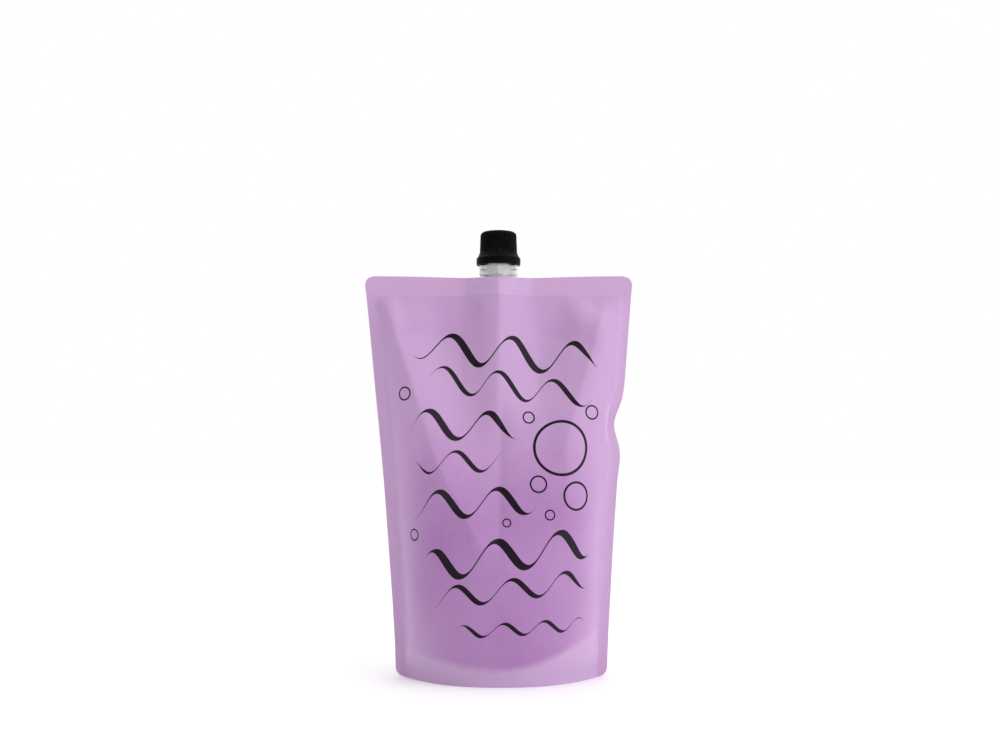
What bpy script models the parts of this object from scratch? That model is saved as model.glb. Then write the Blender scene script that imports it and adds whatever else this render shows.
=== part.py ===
"""Hand soap refill pack: a stand-up film pouch with a welded-in spout, a screw cap and its tamper band.

Metres, +Z up.  The pack stands on z = 0 with its spout's axis on the Z axis.  +X is the pack's right
as seen from the front, and the front panel faces -Y.
"""
import math

import bmesh
import bpy
import numpy as np
from mathutils import Matrix

# ---- pouch: overall sizes -------------------------------------------------------------------
POUCH_HEIGHT = 0.259        # floor to the film's top edge
TOP_HALF_WIDTH = 0.0885     # flat film across the top seal
BASE_HALF_WIDTH = 0.0675    # film drawn in by the filled base
SIDE_TAPER_POWER = 1.15     # the side seams are almost straight
SIDE_SEAL = 0.006           # width of the side welds
TOP_SEAL = 0.013            # height of the top weld
CORNER_RADIUS = 0.006       # the four trimmed corners
FILM = 0.0006               # one wall; the real laminate is about 0.15 mm
BASE_SAG = 0.0460           # front panel to the seam plane at the floor
SAG_FULLNESS = 1.20         # 0 is a straight wedge from the base to the top weld
PLAN_POWER = 2.2            # 2 is a parabola in plan, more is boxier

# ---- pouch: base gusset ----------------------------------------------------------------------
GUSSET_RECESS = 0.0035      # the gusset's film beside its weld, above the skirt's lower edge
GUSSET_DROP = 0.002         # how far the gusset would sink below the floor if nothing held it
GUSSET_END = 0.0585         # where the two skirt walls run together

# ---- spout ----------------------------------------------------------------------------------
BORE_RADIUS = 0.0075
NECK_RADIUS = 0.0090
NECK_TOP = 0.2845
CANOE_RADIUS = 0.0089       # weld base round the bore
CANOE_HALF_LENGTH = 0.0225
CANOE_BOTTOM = 0.243
RIB = 0.0004                # weld ribs stand proud of the canoe
RIB_HEIGHT = 0.0009
RIB_COUNT = 4
GAP = 0.0003                # between pieces that touch
RIB_FOOT = 0.0015           # plain canoe below the lowest rib
RIB_HEAD = 0.0030           # and above the highest
CANOE_TOP = POUCH_HEIGHT + 0.0008
NECK_FOOT = CANOE_BOTTOM + 0.001
NECK_EDGE = 0.0004          # chamfer round the mouth
BEAD_CONE = 0.0013          # height of the slope that the tamper band slides over
HOLLOW = 0.0007             # the turned neck's own hole is narrower than the bore that is cut last
RAIL_HALF_WIDTH = 0.0124    # wings that the filling line carries the spout by
RAIL_HALF_DEPTH = 0.0066
RAIL_CORNER = 0.002
PRISM_RIDGE = 0.0102        # the neck between film and band has an upright edge in front and behind
PRISM_HALF_WIDTH = 0.0090
PRISM_SIDE = 0.0056
PRISM = (0.2594, 0.2656)
LOWER_RAIL = (0.2594, 0.2618)
UPPER_RAIL = (0.2630, 0.2653)
BEAD_RADIUS = 0.0103        # stops the tamper band from lifting off
BEAD_LOW = 0.2700
BEAD_HIGH = 0.2722

# ---- cap, tamper band and liner ----------------------------------------------------------------
CAP_TOP = 0.288
CAP_BOTTOM = 0.2747
CAP_BASE_RADIUS = 0.0122
CAP_TOP_RADIUS = 0.01185
CAP_SHOULDER = 0.0028
CAP_BORE_RADIUS = 0.0106
CAP_ROOF = 0.0019
FLUTES = 36
FLUTE_DEPTH = 0.00035
FLUTE_RADIUS = 0.0005
FLUTE_SIDES = 8
BAND_BOTTOM = 0.2660
BAND_TOP = CAP_BOTTOM - GAP
BAND_KNEE = 0.2712          # the cone meets the upright wall here
BAND_RADIUS = 0.0144
BAND_TOP_RADIUS = 0.0124
BAND_BORE_RADIUS = 0.0109
BAND_LIP_RADIUS = 0.0095    # hooks under the neck's bead
BAND_LIP_HEIGHT = 0.0012
BAND_LIP_CONE = 0.0014
BAND_EDGE = 0.0006
BORE_EDGE = 0.0005          # chamfer under the cap's roof
LINER_RADIUS = 0.0100
LINER_BOTTOM = NECK_TOP + GAP
LINER_TOP = CAP_TOP - CAP_ROOF - GAP

# ---- mesh densities ---------------------------------------------------------------------------
TURN_STEPS = 72
BODY_ROWS = 20
CORNER_ROWS = 4
CENTRE_COLUMNS = 8          # on each side, across the canoe
PANEL_COLUMNS = 9           # on each side, from the canoe to the side weld
CANOE_FADE = 0.050          # the canoe's ridge runs out over this height of film
CANOE_MARGIN = 0.002        # the close columns reach this far past the canoe
GUSSET_COLUMNS = 22
GUSSET_ACROSS = 10
CUTTER_OVERRUN = 0.004      # cutters stick out of what they cut
MERGE = 0.00001             # points closer than this are one

COLORS = {
    "pouch": (0.53, 0.36, 0.60),
    "spout": (0.72, 0.73, 0.75),
    "cap": (0.010, 0.011, 0.012),
    "tamper_band": (0.010, 0.011, 0.012),
    "cap_liner": (0.80, 0.80, 0.78),
}
ROUGHNESS = {"pouch": 0.45, "spout": 0.35, "cap": 0.38, "tamper_band": 0.38, "cap_liner": 0.6}


# ---- scene helpers ----------------------------------------------------------------------------
def clear_scene():
    for obj in list(bpy.data.objects):
        bpy.data.objects.remove(obj, do_unlink=True)


def make_collection(name):
    collection = bpy.data.collections.new(name)
    bpy.context.scene.collection.children.link(collection)
    return collection


def add_object(name, mesh, collection):
    obj = bpy.data.objects.new(name, mesh)
    collection.objects.link(obj)
    return obj


def set_material(obj):
    material = bpy.data.materials.new(obj.name)
    material.use_nodes = True
    shader = material.node_tree.nodes["Principled BSDF"]
    shader.inputs["Base Color"].default_value = (*COLORS[obj.name], 1.0)
    shader.inputs["Roughness"].default_value = ROUGHNESS[obj.name]
    shader.inputs["Metallic"].default_value = 0.0
    obj.data.materials.append(material)


def hide_cutter(obj):
    obj.hide_render = True
    obj.display_type = "WIRE"


def add_boolean(obj, tool, operation):
    modifier = obj.modifiers.new(tool.name, "BOOLEAN")
    modifier.operation = operation
    modifier.object = tool
    modifier.solver = "EXACT"


def closed_mesh(name, points, faces):
    mesh = bpy.data.meshes.new(name)
    mesh.from_pydata(points, [], faces)
    bm = bmesh.new()
    bm.from_mesh(mesh)
    bmesh.ops.recalc_face_normals(bm, faces=bm.faces[:])
    bm.to_mesh(mesh)
    bm.free()
    mesh.update()
    return mesh


def turned(name, profile, collection, ring=True):
    """A profile of (radius, height) points, outer side from top to bottom, swept round the Z axis.

    A ring's profile is a loop; otherwise it starts and ends on the axis."""
    mesh = bpy.data.meshes.new(name)
    points = [(radius, 0.0, height) for radius, height in profile]
    edges = [(i, i + 1) for i in range(len(points) - 1)]
    if ring:
        edges.append((len(points) - 1, 0))
    mesh.from_pydata(points, edges, [])
    obj = add_object(name, mesh, collection)
    screw = obj.modifiers.new("turn", "SCREW")
    screw.steps = TURN_STEPS
    screw.render_steps = TURN_STEPS
    screw.use_merge_vertices = True
    screw.merge_threshold = MERGE
    screw.use_smooth_shade = True
    return obj


def plate(name, outline, low, high, collection):
    """A closed flat outline in plan, from one height to another."""
    curve = bpy.data.curves.new(name, "CURVE")
    curve.dimensions = "2D"
    curve.fill_mode = "BOTH"
    curve.extrude = (high - low) / 2
    spline = curve.splines.new("POLY")
    spline.points.add(len(outline) - 1)
    for point, (x, y) in zip(spline.points, outline):
        point.co = (x, y, 0.0, 1.0)
    spline.use_cyclic_u = True
    source = add_object(name + "_outline", curve, collection)
    source.location.z = (low + high) / 2
    bpy.context.view_layer.update()
    evaluated = source.evaluated_get(bpy.context.evaluated_depsgraph_get())
    mesh = bpy.data.meshes.new_from_object(evaluated)
    mesh.transform(source.matrix_world)
    bm = bmesh.new()
    bm.from_mesh(mesh)
    bmesh.ops.remove_doubles(bm, verts=bm.verts[:], dist=MERGE)
    bmesh.ops.recalc_face_normals(bm, faces=bm.faces[:])
    bm.to_mesh(mesh)
    bm.free()
    bpy.data.objects.remove(source, do_unlink=True)
    return add_object(name, mesh, collection)


def arc(centre, radius, start, end, steps):
    """Points of a circular arc, in (first, second) coordinates; angles in degrees."""
    points = []
    for angle in np.linspace(math.radians(start), math.radians(end), steps + 1):
        points.append((centre[0] + radius * math.cos(angle), centre[1] + radius * math.sin(angle)))
    return points


# ---- pouch --------------------------------------------------------------------------------------
def half_width(z):
    """Seam to centre, before the corners are trimmed."""
    share = max(0.0, z / POUCH_HEIGHT) ** SIDE_TAPER_POWER
    return BASE_HALF_WIDTH + (TOP_HALF_WIDTH - BASE_HALF_WIDTH) * share


def corner_trim(z):
    """How far the rounded corners cut into the width at this height."""
    reach = max(CORNER_RADIUS - z, z - (POUCH_HEIGHT - CORNER_RADIUS), 0.0)
    return CORNER_RADIUS - math.sqrt(max(0.0, CORNER_RADIUS**2 - reach**2))


def sag(z):
    """Depth of the front panel at the centre line, from the seam plane."""
    height = min(1.0, z / (POUCH_HEIGHT - TOP_SEAL))
    return BASE_SAG * (1.0 - height) * (1.0 + SAG_FULLNESS * height)


def panel_depth(x, z):
    chord = half_width(z) - SIDE_SEAL
    share = min(1.0, abs(x) / chord)
    return sag(z) * (1.0 - share**PLAN_POWER)


def canoe_depth(x, grow=0.0):
    """Half-depth of the weld base in plan: a circle round the bore with tangents to two pointed ends."""
    radius = CANOE_RADIUS + grow
    tip = CANOE_HALF_LENGTH + grow
    touch = radius**2 / tip
    x = abs(x)
    if x >= tip:
        return 0.0
    if x <= touch:
        return math.sqrt(radius**2 - x**2)
    return (tip - x) * radius / math.sqrt(tip**2 - radius**2)


def film_depth(x, z):
    """Outer surface of the front film, from the seam plane, with the canoe's ridge in it."""
    below = max(0.0, (CANOE_BOTTOM - z) / CANOE_FADE)
    fade = max(0.0, 1.0 - below) ** 2 * (1.0 + 2.0 * below)
    ridge = canoe_depth(x, RIB + GAP + FILM) * fade
    panel = panel_depth(x, z)
    return FILM + (ridge**3 + panel**3) ** (1 / 3)


def row_heights():
    angles = np.linspace(0.0, math.pi / 2, CORNER_ROWS + 1)
    low = [CORNER_RADIUS * (1.0 - math.cos(angle)) for angle in angles]
    high = [POUCH_HEIGHT - z for z in reversed(low)]
    body = list(np.linspace(CORNER_RADIUS, POUCH_HEIGHT - CORNER_RADIUS, BODY_ROWS + 1))
    return low[:-1] + body + high[1:]


def column_shares():
    """Shares of the half-width, from the centre line to the seam: close together across the canoe."""
    canoe = (CANOE_HALF_LENGTH + CANOE_MARGIN) / TOP_HALF_WIDTH
    weld = 1.0 - SIDE_SEAL / TOP_HALF_WIDTH
    centre = list(np.linspace(0.0, canoe, CENTRE_COLUMNS + 1))
    panel = list(np.linspace(canoe, weld, PANEL_COLUMNS + 1))
    right = centre + panel[1:] + [1.0]
    return [-share for share in reversed(right[1:])] + right


def pouch_mesh():
    shares = column_shares()
    points = []
    for z in row_heights():
        width = half_width(z) - corner_trim(z)
        front = [(share * width, -film_depth(share * width, z), z) for share in shares]
        back = [(x, -y, z) for x, y, z in reversed(front)]
        points += front + back
    columns = len(shares)
    ring = 2 * columns
    rows = len(points) // ring
    faces = []
    for row in range(rows - 1):
        for i in range(ring):
            j = (i + 1) % ring
            faces.append((row * ring + i, row * ring + j, (row + 1) * ring + j, (row + 1) * ring + i))
    for first in (0, (rows - 1) * ring):
        for i in range(columns - 1):
            faces.append((first + i, first + i + 1, first + ring - 2 - i, first + ring - 1 - i))
    return closed_mesh("pouch", points, faces)


def gusset_height(x, share):
    """The filled gusset lies on the floor in the middle and lifts towards its weld all round."""
    reach = min(1.0, share**2 + (x / GUSSET_END) ** 2)
    return -GUSSET_DROP + (GUSSET_RECESS + GUSSET_DROP) * reach


def gusset_cutter(collection):
    """The space under the gusset, inside the skirt's two walls."""
    points = []
    for x in np.linspace(-GUSSET_END, GUSSET_END, GUSSET_COLUMNS + 1):
        foot = film_depth(x, 0.0) - FILM
        weld = film_depth(x, GUSSET_RECESS) - FILM
        row = [(x, -foot, -CUTTER_OVERRUN)]
        for share in np.linspace(-1.0, 1.0, GUSSET_ACROSS + 1):
            row.append((x, share * weld, gusset_height(x, share)))
        row.append((x, foot, -CUTTER_OVERRUN))
        points += row
    ring = GUSSET_ACROSS + 3
    faces = []
    for column in range(GUSSET_COLUMNS):
        for i in range(ring):
            j = (i + 1) % ring
            first = column * ring
            faces.append((first + i, first + j, first + ring + j, first + ring + i))
    faces.append(tuple(range(ring)))
    faces.append(tuple(range(GUSSET_COLUMNS * ring, (GUSSET_COLUMNS + 1) * ring)))
    cutter = add_object("gusset_space", closed_mesh("gusset_space", points, faces), collection)
    hide_cutter(cutter)
    return cutter


def canoe_outline(grow=0.0, steps=8):
    """The weld base in plan, counter-clockwise, with blunt tips."""
    radius = CANOE_RADIUS + grow
    tip = CANOE_HALF_LENGTH + grow
    touch = math.degrees(math.acos(radius / tip))
    blunt = FILM / 2 + grow / 4
    near = tip - blunt
    top = arc((0.0, 0.0), radius, touch, 180.0 - touch, 2 * steps)
    bottom = [(-x, -y) for x, y in top]
    return [(near, -blunt), (near, blunt)] + top + [(-near, blunt), (-near, -blunt)] + bottom


def make_pouch(parts, cutters):
    pouch = add_object("pouch", pouch_mesh(), parts)
    add_boolean(pouch, gusset_cutter(cutters), "DIFFERENCE")
    above = POUCH_HEIGHT + CUTTER_OVERRUN
    socket = plate("spout_socket", canoe_outline(RIB + GAP), CANOE_BOTTOM - GAP, above, cutters)
    hide_cutter(socket)
    add_boolean(pouch, socket, "DIFFERENCE")
    set_material(pouch)


# ---- spout -----------------------------------------------------------------------------------
def rounded_rectangle(half_x, half_y, corner, steps=4):
    points = []
    for start, sign_x, sign_y in ((0, 1, 1), (90, -1, 1), (180, -1, -1), (270, 1, -1)):
        centre = (sign_x * (half_x - corner), sign_y * (half_y - corner))
        points += arc(centre, corner, start, start + 90, steps)
    return points


def neck_profile():
    """Turned outline of the neck, bead and foot; its hole is bored out to size later."""
    return [
        (NECK_RADIUS - NECK_EDGE, NECK_TOP),
        (NECK_RADIUS, NECK_TOP - NECK_EDGE),
        (NECK_RADIUS, BEAD_HIGH + BEAD_CONE),
        (BEAD_RADIUS, BEAD_HIGH),
        (BEAD_RADIUS, BEAD_LOW),
        (NECK_RADIUS, BEAD_LOW),
        (NECK_RADIUS, POUCH_HEIGHT),
        (CANOE_RADIUS - NECK_EDGE, NECK_FOOT),
        (BORE_RADIUS - HOLLOW, NECK_FOOT),
        (BORE_RADIUS - HOLLOW, NECK_TOP),
    ]


def prism_outline():
    right = [(PRISM_HALF_WIDTH, -PRISM_SIDE), (PRISM_HALF_WIDTH, PRISM_SIDE)]
    left = [(-x, -y) for x, y in right]
    return [(0.0, -PRISM_RIDGE)] + right + [(0.0, PRISM_RIDGE)] + left


def make_spout(parts, cutters):
    """One moulding: neck with its bead, prism, two rails, and the ribbed canoe the film is welded to."""
    spout = turned("spout", neck_profile(), parts)
    pieces = [plate("canoe", canoe_outline(), CANOE_BOTTOM, CANOE_TOP, cutters)]
    rib_span = (POUCH_HEIGHT - RIB_HEAD - CANOE_BOTTOM) / RIB_COUNT
    for i in range(RIB_COUNT):
        low = CANOE_BOTTOM + RIB_FOOT + i * rib_span
        pieces.append(plate(f"weld_rib_{i}", canoe_outline(RIB), low, low + RIB_HEIGHT, cutters))
    rail = rounded_rectangle(RAIL_HALF_WIDTH, RAIL_HALF_DEPTH, RAIL_CORNER)
    pieces.append(plate("lower_rail", rail, *LOWER_RAIL, cutters))
    pieces.append(plate("upper_rail", rail, *UPPER_RAIL, cutters))
    pieces.append(plate("neck_prism", prism_outline(), *PRISM, cutters))
    for piece in pieces:
        hide_cutter(piece)
        add_boolean(spout, piece, "UNION")
    add_boolean(spout, bore_cutter(cutters), "DIFFERENCE")
    set_material(spout)


def bore_cutter(collection):
    mesh = bpy.data.meshes.new("bore")
    bm = bmesh.new()
    bmesh.ops.create_cone(
        bm,
        cap_ends=True,
        segments=TURN_STEPS,
        radius1=BORE_RADIUS,
        radius2=BORE_RADIUS,
        depth=NECK_TOP - CANOE_BOTTOM + 2 * CUTTER_OVERRUN,
    )
    bmesh.ops.translate(bm, verts=bm.verts[:], vec=(0.0, 0.0, (CANOE_BOTTOM + NECK_TOP) / 2))
    bm.to_mesh(mesh)
    bm.free()
    bore = add_object("bore", mesh, collection)
    hide_cutter(bore)
    return bore


# ---- cap, band and liner ------------------------------------------------------------------------
def flute_cutter(collection):
    """Upright grooves round the cap's side, which lean in with its taper and stop below the shoulder."""
    high = CAP_TOP - CAP_SHOULDER
    low = CAP_BOTTOM - CUTTER_OVERRUN
    middle = (high + low) / 2
    lean = (CAP_BASE_RADIUS - CAP_TOP_RADIUS) / (high - CAP_BOTTOM)
    mesh = bpy.data.meshes.new("flutes")
    bm = bmesh.new()
    for i in range(FLUTES):
        made = bmesh.ops.create_cone(
            bm,
            cap_ends=True,
            segments=FLUTE_SIDES,
            radius1=FLUTE_RADIUS,
            radius2=FLUTE_RADIUS,
            depth=high - low,
        )
        for vert in made["verts"]:
            radius = CAP_BASE_RADIUS - lean * (vert.co.z + middle - CAP_BOTTOM)
            vert.co.x += radius + FLUTE_RADIUS - FLUTE_DEPTH
            vert.co.z += middle
        turn = Matrix.Rotation(2.0 * math.pi * (i + 0.5) / FLUTES, 3, "Z")
        bmesh.ops.rotate(bm, verts=made["verts"], cent=(0.0, 0.0, 0.0), matrix=turn)
    bm.to_mesh(mesh)
    bm.free()
    cutter = add_object("flutes", mesh, collection)
    hide_cutter(cutter)
    return cutter


def make_cap(parts, cutters):
    """The axis of both its motions, turning and rising, is the Z axis, so its origin stays there."""
    shoulder = arc((CAP_TOP_RADIUS - CAP_SHOULDER, CAP_TOP - CAP_SHOULDER), CAP_SHOULDER, 90, 0, 5)
    roof = CAP_TOP - CAP_ROOF
    profile = [(0.0, CAP_TOP)] + shoulder + [
        (CAP_BASE_RADIUS, CAP_BOTTOM),
        (CAP_BORE_RADIUS, CAP_BOTTOM),
        (CAP_BORE_RADIUS, roof - BORE_EDGE),
        (CAP_BORE_RADIUS - BORE_EDGE, roof),
        (0.0, roof),
    ]
    cap = turned("cap", profile, parts, ring=False)
    add_boolean(cap, flute_cutter(cutters), "DIFFERENCE")
    set_material(cap)


def make_band(parts):
    """Torn from the cap at its first turn, it stays on the neck and hooks under the neck's bead."""
    foot = arc((BAND_RADIUS - BAND_EDGE, BAND_BOTTOM + BAND_EDGE), BAND_EDGE, 0, -90, 3)
    profile = [(BAND_TOP_RADIUS, BAND_TOP), (BAND_RADIUS, BAND_KNEE)] + foot + [
        (BAND_LIP_RADIUS, BAND_BOTTOM),
        (BAND_LIP_RADIUS, BAND_BOTTOM + BAND_LIP_HEIGHT),
        (BAND_BORE_RADIUS, BAND_BOTTOM + BAND_LIP_HEIGHT + BAND_LIP_CONE),
        (BAND_BORE_RADIUS, BAND_TOP),
    ]
    band = turned("tamper_band", profile, parts)
    set_material(band)


def make_liner(parts):
    """The soft disc that closes the spout's mouth under the cap's roof."""
    profile = [
        (0.0, LINER_TOP),
        (LINER_RADIUS, LINER_TOP),
        (LINER_RADIUS, LINER_BOTTOM),
        (0.0, LINER_BOTTOM),
    ]
    liner = turned("cap_liner", profile, parts, ring=False)
    set_material(liner)


def main():
    clear_scene()
    parts = make_collection("hand_soap_refill_pack")
    cutters = make_collection("cutters")
    make_pouch(parts, cutters)
    make_spout(parts, cutters)
    make_cap(parts, cutters)
    make_band(parts)
    make_liner(parts)


main()
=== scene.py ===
"""Looks of a hand soap refill pack: a filled stand-up film pouch with a spout, a fluted cap and its band.

The film is relaxed here as a thin sheet that can't stretch, welded along its edges and filled with soap.
"""
import math

import bmesh
import bpy
import numpy as np
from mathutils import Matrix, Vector


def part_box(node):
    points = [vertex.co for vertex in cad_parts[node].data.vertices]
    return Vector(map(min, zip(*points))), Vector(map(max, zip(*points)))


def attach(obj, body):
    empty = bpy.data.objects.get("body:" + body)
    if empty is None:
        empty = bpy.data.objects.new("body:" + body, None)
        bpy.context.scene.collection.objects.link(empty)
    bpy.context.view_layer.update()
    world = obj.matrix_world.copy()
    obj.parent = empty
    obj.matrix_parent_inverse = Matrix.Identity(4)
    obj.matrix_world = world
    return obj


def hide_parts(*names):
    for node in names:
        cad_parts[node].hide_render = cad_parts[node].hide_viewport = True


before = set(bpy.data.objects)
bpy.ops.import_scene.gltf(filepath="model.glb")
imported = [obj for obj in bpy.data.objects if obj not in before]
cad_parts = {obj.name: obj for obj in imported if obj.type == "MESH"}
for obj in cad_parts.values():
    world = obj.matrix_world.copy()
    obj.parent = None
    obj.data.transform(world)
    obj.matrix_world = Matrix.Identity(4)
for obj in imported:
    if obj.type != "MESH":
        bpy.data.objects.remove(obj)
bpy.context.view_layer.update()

MM = 0.001

# ---- sizes read from the frame ------------------------------------------------------------------
POUCH_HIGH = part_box("pouch")[1]
SPOUT_LOW, SPOUT_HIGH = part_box("spout")
CAP_LOW, CAP_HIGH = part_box("cap")
BAND_LOW, BAND_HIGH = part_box("tamper_band")
LINER_LOW, LINER_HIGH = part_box("cap_liner")
HEIGHT = POUCH_HIGH.z
TOP_HALF = POUCH_HIGH.x

# ---- film pouch ---------------------------------------------------------------------------------
SIDE_WELD = 6.0 * MM
TOP_WELD = 13.0 * MM
CORNER = 6.5 * MM
FILM = 0.25 * MM            # each layer sits this far from the welded middle plane
BASE_HALF_LEFT = 65.8 * MM
BASE_HALF_RIGHT = 69.6 * MM
LEFT_TAPER = 1.3            # 1 is a straight seam
RIGHT_TAPER = 1.25
BUCKLES = [                 # of the right seam: level, reach up and down, how far out
    (163 * MM, 12 * MM, -4.4 * MM),
    (141 * MM, 9 * MM, 0.8 * MM),
]
FLAT_WIDTH = 165.4 * MM     # film between the two side welds, laid flat
EASE = 3.6 * MM             # more film across the spout's base
EASE_LEVELS = (190 * MM, 246 * MM)
FLAT_HEIGHT = 260.5 * MM
BASE_DEPTH = 43.5 * MM      # front panel to the weld plane at the floor
BASE_POWER = 2.5            # a panel in plan: 2 is a parabola, more is boxier
TOP_POWER = 2.0
FULLNESS = 0.9              # 0 is a straight wedge from the base to the top weld
FOOT = 7.0 * MM             # the skirt stands still up to here
SKIRT_LOW = 9.0 * MM        # the skirt's weld in the middle, and how much higher it ends at each side
SKIRT_RISE_LEFT = 9.0 * MM
SKIRT_RISE_RIGHT = 19.0 * MM
SKIRT_MIDDLE = 2.0 * MM
SKIRT_HALF = 55.0 * MM
FILL_LEVEL = 165.0 * MM
SUCTION = 0.1               # how the film is drawn in above the soap, as a share of the floor's pressure
SUCTION_RISE = 30.0 * MM
BELLY = 1.5 * MM            # the film stands out over the skirt's weld by this
BELLY_RISE = 4.0 * MM
BELLY_FALL = 40.0 * MM
CANOE_REACH = SPOUT_HIGH.x + 1.0 * MM
CANOE_HALF = 9.9 * MM       # film over the spout's weld base, from the weld plane
CANOE_EDGE = 1.6 * MM
CANOE_LOW = SPOUT_LOW.z
TUBE_END = 175.0 * MM       # the film drapes over the spout's foot down to here
TUBE_FULL = 205.0 * MM
COARSE = (89, 57)           # rows and columns of the first relaxation
FINE = (177, 113)
FINAL = (249, 161)          # the creases are added on this grid
FIN_COLUMNS = 5
STIFFNESS = [(2, 0.25), (4, 0.15), (8, 0.08)]
STEPS_TO_REST = (260, 40, 60)   # of the two coarse relaxations and the fine one
SKIRT_ROWS = 60             # rows of the final grid that are enough to hold the skirt
CURVE_POINTS = 801
SEAM_REACH = 6.0            # columns on each side of a side weld's edge over which the film curves
TOP_DIP = 1.7 * MM          # of the top edge beside the spout
FOOT_OPENING = 2.0 * MM     # the skirt is open where its wall stands further off the weld plane
MOUTH_OPENING = 1.2 * MM    # the spout's pocket is open where the two films are further apart
GUSSET_FLAT = 22.0 * MM     # half of the stretch where the gusset lies on the floor
GUSSET_RISE = 40.0 * MM     # and how high it folds up at the seams
LIFT = 0.3 * MM             # of the gusset off the floor, and of the pocket's sheet off the films

# The dents set which way the slack film above the soap folds.
# Each is x, z, half-length, half-width (mm), angle in degrees and depth (mm); below zero pushes in.
FRONT_DENTS = [
    (52, 222, 30, 18, 25, -10),
    (-45, 232, 22, 12, -20, -6),
    (-60, 215, 30, 10, -62, -4),
]
BACK_DENTS = [
    (40, 225, 26, 16, 10, -8),
    (-52, 215, 30, 14, -40, -8),
]

# Creases that handling has left, in mm: from x, z to x, z, two reaches and a height.
# The first reach is to the left of a line that runs down and below one that runs right; the second
# is on its other side. Below zero the crease is a groove.
FRONT_CREASES = [
    (-75, 248, -38, 134, 13, 26, 8.6),
    (-38, 136, -11, 84, 14, 15, 5.2),
    (-64, 220, -28, 218, 26, 20, -5.0),
    (-24, 256, -24, 178, 9, 10, -2.6),
    (24, 256, 26, 178, 10, 9, -2.6),
    (1, 256, -1, 168, 15, 9, 3.8),
    (2, 166, 0, 84, 17, 14, -5.6),
    (68, 236, 43, 152, 22, 18, 6.8),
    (43, 150, 44, 100, 16, 20, 2.6),
    (46, 248, 67, 229, 20, 9, 4.6),
    (28, 220, 60, 212, 26, 20, -4.6),
    (-64, 80, -59, 20, 2, 4, -1.2),
]
BACK_CREASES = [
    (-74, 248, -40, 146, 14, 26, 7.0),
    (-24, 256, -24, 182, 9, 9, -2.6),
    (24, 256, 23, 178, 9, 9, -2.6),
    (0, 256, 2, 176, 13, 10, 3.0),
    (26, 238, 38, 128, 14, 22, 5.0),
    (78, 242, 50, 176, 14, 20, 6.0),
    (-6, 190, 4, 106, 14, 14, -5.0),
    (-62, 220, -28, 216, 24, 20, -4.4),
    (42, 134, 8, 86, 12, 12, -4.0),
]
CREASE_ROUNDING = 0.8 * MM


def smooth_step(low, high, value):
    share = np.clip((value - low) / (high - low), 0.0, 1.0)
    return share * share * (3.0 - 2.0 * share)


def bump(centre, width, value):
    return np.exp(-(((value - centre) / width) ** 2))


def left_seam(z):
    share = np.clip(z / HEIGHT, 0.0, 1.0)
    return -(BASE_HALF_LEFT + (TOP_HALF - BASE_HALF_LEFT) * share**LEFT_TAPER)


def right_seam(z):
    """It buckles inward where the soap's level ends."""
    share = np.clip(z / HEIGHT, 0.0, 1.0)
    seam = BASE_HALF_RIGHT + (TOP_HALF - BASE_HALF_RIGHT) * share**RIGHT_TAPER
    for level, reach, out in BUCKLES:
        seam = seam + out * bump(level, reach, z)
    return seam


def canoe_depth(x, half=CANOE_HALF, reach=CANOE_REACH):
    """The spout's base in plan: two flat faces that meet in a soft upright edge, and two pointed ends."""
    peak = half / (1.0 - CANOE_EDGE / reach)
    return np.maximum(peak * (1.0 - np.hypot(x, CANOE_EDGE) / reach), 0.0)


def spout_foot(x, z):
    return canoe_depth(x) * smooth_step(TUBE_END, TUBE_FULL, z)


def film_width(z):
    return FLAT_WIDTH + EASE * smooth_step(*EASE_LEVELS, z)


def skirt_height(x):
    """Where the base gusset's weld to a panel ends and the film is free to belly out."""
    share = (x - SKIRT_MIDDLE) / SKIRT_HALF
    return SKIRT_LOW + np.where(share > 0, SKIRT_RISE_RIGHT, SKIRT_RISE_LEFT) * np.abs(share) ** 1.8


def plan_curve(z, depth, power):
    left = left_seam(z) + SIDE_WELD
    right = right_seam(z) - SIDE_WELD
    x = np.linspace(left, right, CURVE_POINTS)
    share = np.abs(x - (left + right) / 2) / ((right - left) / 2)
    return np.stack([x, -depth * (1.0 - share**power)], axis=1)


def curve_length(points):
    return np.hypot(*np.diff(points, axis=0).T).sum()


def spread(points, count):
    """The same curve with its points at equal distances."""
    along = np.concatenate([[0.0], np.cumsum(np.hypot(*np.diff(points, axis=0).T))])
    wanted = np.linspace(0.0, along[-1], count)
    return np.stack([np.interp(wanted, along, points[:, k]) for k in range(2)], axis=1)


def fitting_depth(z, power):
    """How far a bulge of the film's own width stands off the weld plane."""
    low, high = 0.0, 60.0 * MM
    for _ in range(30):
        middle = (low + high) / 2
        if curve_length(plan_curve(z, middle, power)) < film_width(z):
            low = middle
        else:
            high = middle
    return low


def starting_panel(rows, columns):
    """Each level is a bulge whose arc is the film's own width, less and less deep towards the top weld."""
    panel = np.zeros((rows, columns, 3))
    for row, z in enumerate(np.linspace(0.0, HEIGHT, rows)):
        level = min(1.0, z / (HEIGHT - TOP_WELD))
        power = BASE_POWER + (TOP_POWER - BASE_POWER) * level
        wedge = BASE_DEPTH * (1.0 - level) * (1.0 + FULLNESS * level)
        depth = min(fitting_depth(z, power), wedge)
        curve = plan_curve(z, depth, power)
        ridge = spout_foot(curve[:, 0], z)
        curve[:, 1] = -np.cbrt((-curve[:, 1]) ** 3 + ridge**3)
        panel[row, :, :2] = spread(curve, columns)
        panel[row, :, 2] = z
    return panel


def stand_off(panel, whole):
    """0 at the weld plane, 1 from the given distance outwards: welded film takes no folds."""
    return np.clip(-panel[..., 1] / whole, 0.0, 1.0)


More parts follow.
